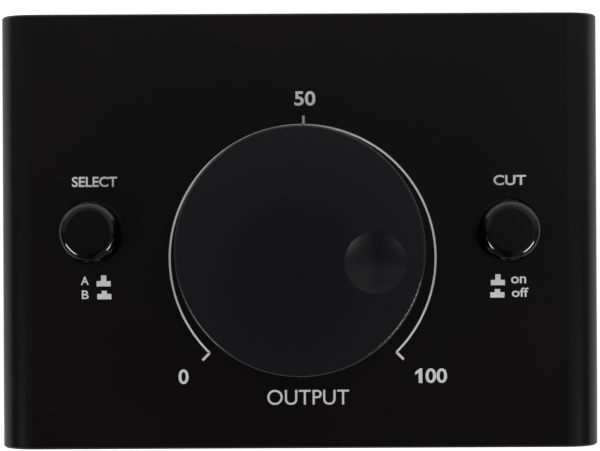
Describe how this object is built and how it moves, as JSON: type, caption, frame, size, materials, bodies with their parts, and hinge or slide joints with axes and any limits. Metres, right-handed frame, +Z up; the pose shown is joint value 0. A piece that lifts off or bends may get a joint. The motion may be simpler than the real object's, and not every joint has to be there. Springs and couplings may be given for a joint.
{
  "type": "studio monitor controller",
  "caption": "Low desktop box with a large volume knob that has a finger dish, two round push buttons and a row of jack sockets at the rear.",
  "frame": {"origin": "under the middle of the case, on the plane that the feet stand on", "axes": "+X to the user's right along the long side, +Y from the front to the sockets, +Z up"},
  "size_m": [0.128, 0.0926, 0.054],
  "materials": {
    "black_anodised": "fine blasted, black anodised",
    "knob_anodised": "fine turned, black anodised, satin",
    "tray_paint": "fine-texture powder coat",
    "button_gloss": "polished",
    "foot_rubber": "matt",
    "zinc_steel": "zinc plated",
    "black_steel": "black oxide",
    "board_laminate": "glass-epoxy board, green solder mask",
    "brass": "turned",
    "pot_case": "die-cast zinc",
    "pot_wafer": "phenolic",
    "tinned_brass": "tin plated",
    "shaft_metal": "turned",
    "black_nylon": "moulded",
    "white_nylon": "moulded",
    "print_white": "screen-printed ink on the panel",
    "nickel": "bright nickel"
  },
  "bodies": {
    "case": {"top_cover": "black_anodised", "chassis_tray": "tray_paint", "case_screws": "black_steel", "foot_front_left": "foot_rubber", "foot_front_right": "foot_rubber", "foot_rear_left": "foot_rubber", "foot_rear_right": "foot_rubber", "foot_screws": "zinc_steel", "foot_nuts": "zinc_steel", "main_board": "board_laminate", "board_standoffs": "brass", "board_screws": "zinc_steel", "pot_end_cap": "pot_case", "pot_gang_lower": "pot_wafer", "pot_gang_upper": "pot_wafer", "pot_bush": "pot_case", "pot_washer": "zinc_steel", "pot_nut": "zinc_steel", "pot_pins": "tinned_brass", "source_switch_body": "black_nylon", "source_switch_spring": "zinc_steel", "source_switch_pins": "tinned_brass", "mute_switch_body": "black_nylon", "mute_switch_spring": "zinc_steel", "mute_switch_pins": "tinned_brass", "output_b_right_jack_housing": "black_nylon", "output_b_right_jack_bush": "nickel", "output_b_right_jack_contacts": "tinned_brass", "output_b_left_jack_housing": "black_nylon", "output_b_left_jack_bush": "nickel", "output_b_left_jack_contacts": "tinned_brass", "output_a_right_jack_housing": "black_nylon", "output_a_right_jack_bush": "nickel", "output_a_right_jack_contacts": "tinned_brass", "output_a_left_jack_housing": "black_nylon", "output_a_left_jack_bush": "nickel", "output_a_left_jack_contacts": "tinned_brass", "input_right_jack_housing": "black_nylon", "input_right_jack_bush": "nickel", "input_right_jack_contacts": "tinned_brass", "input_left_jack_housing": "black_nylon", "input_left_jack_bush": "nickel", "input_left_jack_contacts": "tinned_brass", "jack_washers": "nickel", "jack_nuts": "nickel"},
    "knob": {"volume_knob": "knob_anodised", "knob_set_screw": "black_steel", "pot_shaft": "shaft_metal"},
    "source_button": {"source_button_cap": "button_gloss", "source_switch_plunger": "white_nylon"},
    "mute_button": {"mute_button_cap": "button_gloss", "mute_switch_plunger": "white_nylon"}
  },
  "joints": [
    {"name": "volume_turn", "type": "hinge", "parent": "case", "child": "knob", "pos_m": [0, -0.004, 0.0355], "axis": [0, 0, 1], "range_deg": [-36, 234]},
    {"name": "source_press", "type": "slide", "parent": "case", "child": "source_button", "axis": [0, 0, -1], "range_m": [0, 0.0026], "stiffness_N_per_m": 400, "springref_m": -0.001, "deforming": ["source_switch_spring"]},
    {"name": "mute_press", "type": "slide", "parent": "case", "child": "mute_button", "axis": [0, 0, -1], "range_m": [0, 0.0026], "stiffness_N_per_m": 400, "springref_m": -0.001, "deforming": ["mute_switch_spring"]}
  ]
}
